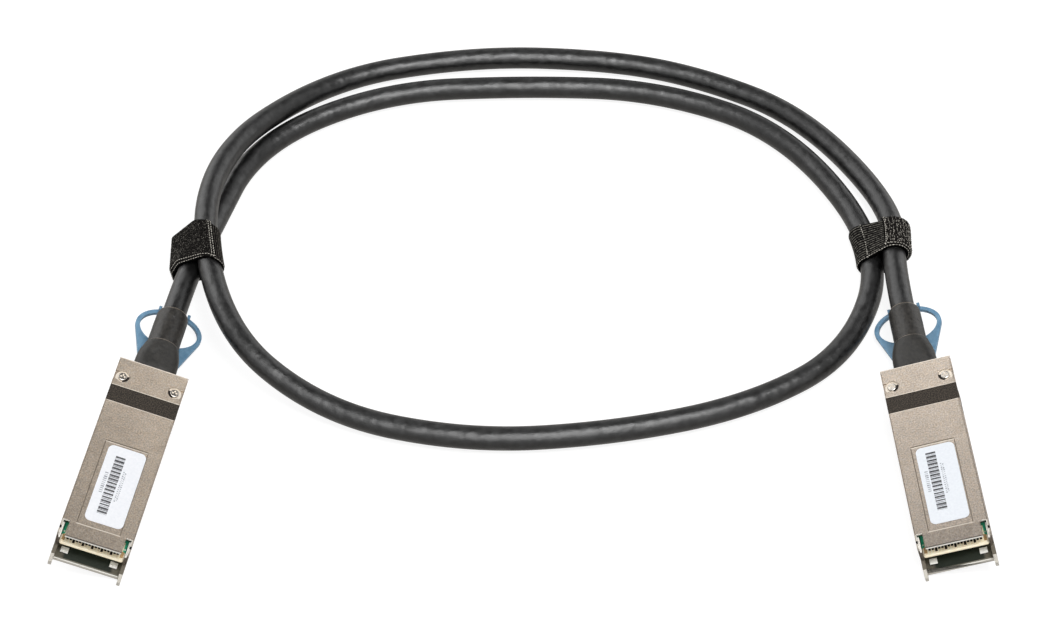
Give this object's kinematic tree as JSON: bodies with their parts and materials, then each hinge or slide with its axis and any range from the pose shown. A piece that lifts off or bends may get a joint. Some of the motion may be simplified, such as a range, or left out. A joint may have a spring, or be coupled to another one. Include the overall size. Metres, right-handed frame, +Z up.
{
  "type": "direct attach copper cable",
  "caption": "Short passive copper network cable with a latching pluggable module at each end, blue pull rings, looped once and held by hook-and-loop ties.",
  "frame": {"origin": "on the surface the cable lies on, under the middle of the box round the two plugs", "axes": "+X from the left plug to the right plug, +Y from the plugs' noses towards the cable's loop, +Z up"},
  "size_m": [0.234, 0.1869, 0.0176],
  "materials": {
    "shell_metal": "satin nickel-plated die casting",
    "cover_metal": "satin nickel-plated die casting",
    "screw_steel": "plated machine screw",
    "gasket_cloth": "conductive woven cloth, dark",
    "label_film": "blank white printed film",
    "card_laminate": "green solder-masked laminate",
    "contact_gold": "hard gold plating on copper",
    "pair_foil": "foil-wrapped conductor pair",
    "ferrule_brass": "crimped sleeve",
    "boot_rubber": "moulded satin black",
    "sleeve_plastic": "shrunk tubing, satin black",
    "slider_steel": "stamped spring steel",
    "spring_steel": "coiled wire",
    "tab_plastic": "moulded blue plastic",
    "cable_jacket": "smooth satin black jacket",
    "tie_fabric": "black hook-and-loop strap"
  },
  "bodies": {
    "cable_assembly": {"left_bottom_shell": "shell_metal", "left_top_cover": "cover_metal", "left_cover_screws": "screw_steel", "left_emi_gasket": "gasket_cloth", "left_label": "label_film", "left_paddle_card": "card_laminate", "left_card_contacts": "contact_gold", "left_copper_pairs": "pair_foil", "left_crimp_ring": "ferrule_brass", "left_strain_relief": "boot_rubber", "left_boot_sleeve": "sleeve_plastic", "left_return_springs": "spring_steel", "right_bottom_shell": "shell_metal", "right_top_cover": "cover_metal", "right_cover_screws": "screw_steel", "right_emi_gasket": "gasket_cloth", "right_label": "label_film", "right_paddle_card": "card_laminate", "right_card_contacts": "contact_gold", "right_copper_pairs": "pair_foil", "right_crimp_ring": "ferrule_brass", "right_strain_relief": "boot_rubber", "right_boot_sleeve": "sleeve_plastic", "right_return_springs": "spring_steel", "cable": "cable_jacket", "left_tie": "tie_fabric", "right_tie": "tie_fabric"},
    "left_latch": {"left_latch_slider": "slider_steel", "left_pull_tab": "tab_plastic"},
    "right_latch": {"right_latch_slider": "slider_steel", "right_pull_tab": "tab_plastic"}
  },
  "joints": [
    {"name": "left_latch_slide", "type": "slide", "parent": "cable_assembly", "child": "left_latch", "axis": [0.1855, 0.9818, 0.0419], "range_m": [0, 0.002], "stiffness_N_per_m": 900, "springref_m": -0.001, "deforming": ["left_return_springs"]},
    {"name": "right_latch_slide", "type": "slide", "parent": "cable_assembly", "child": "right_latch", "axis": [-0.0801, 0.9959, 0.0419], "range_m": [0, 0.002], "stiffness_N_per_m": 900, "springref_m": -0.001, "deforming": ["right_return_springs"]}
  ]
}
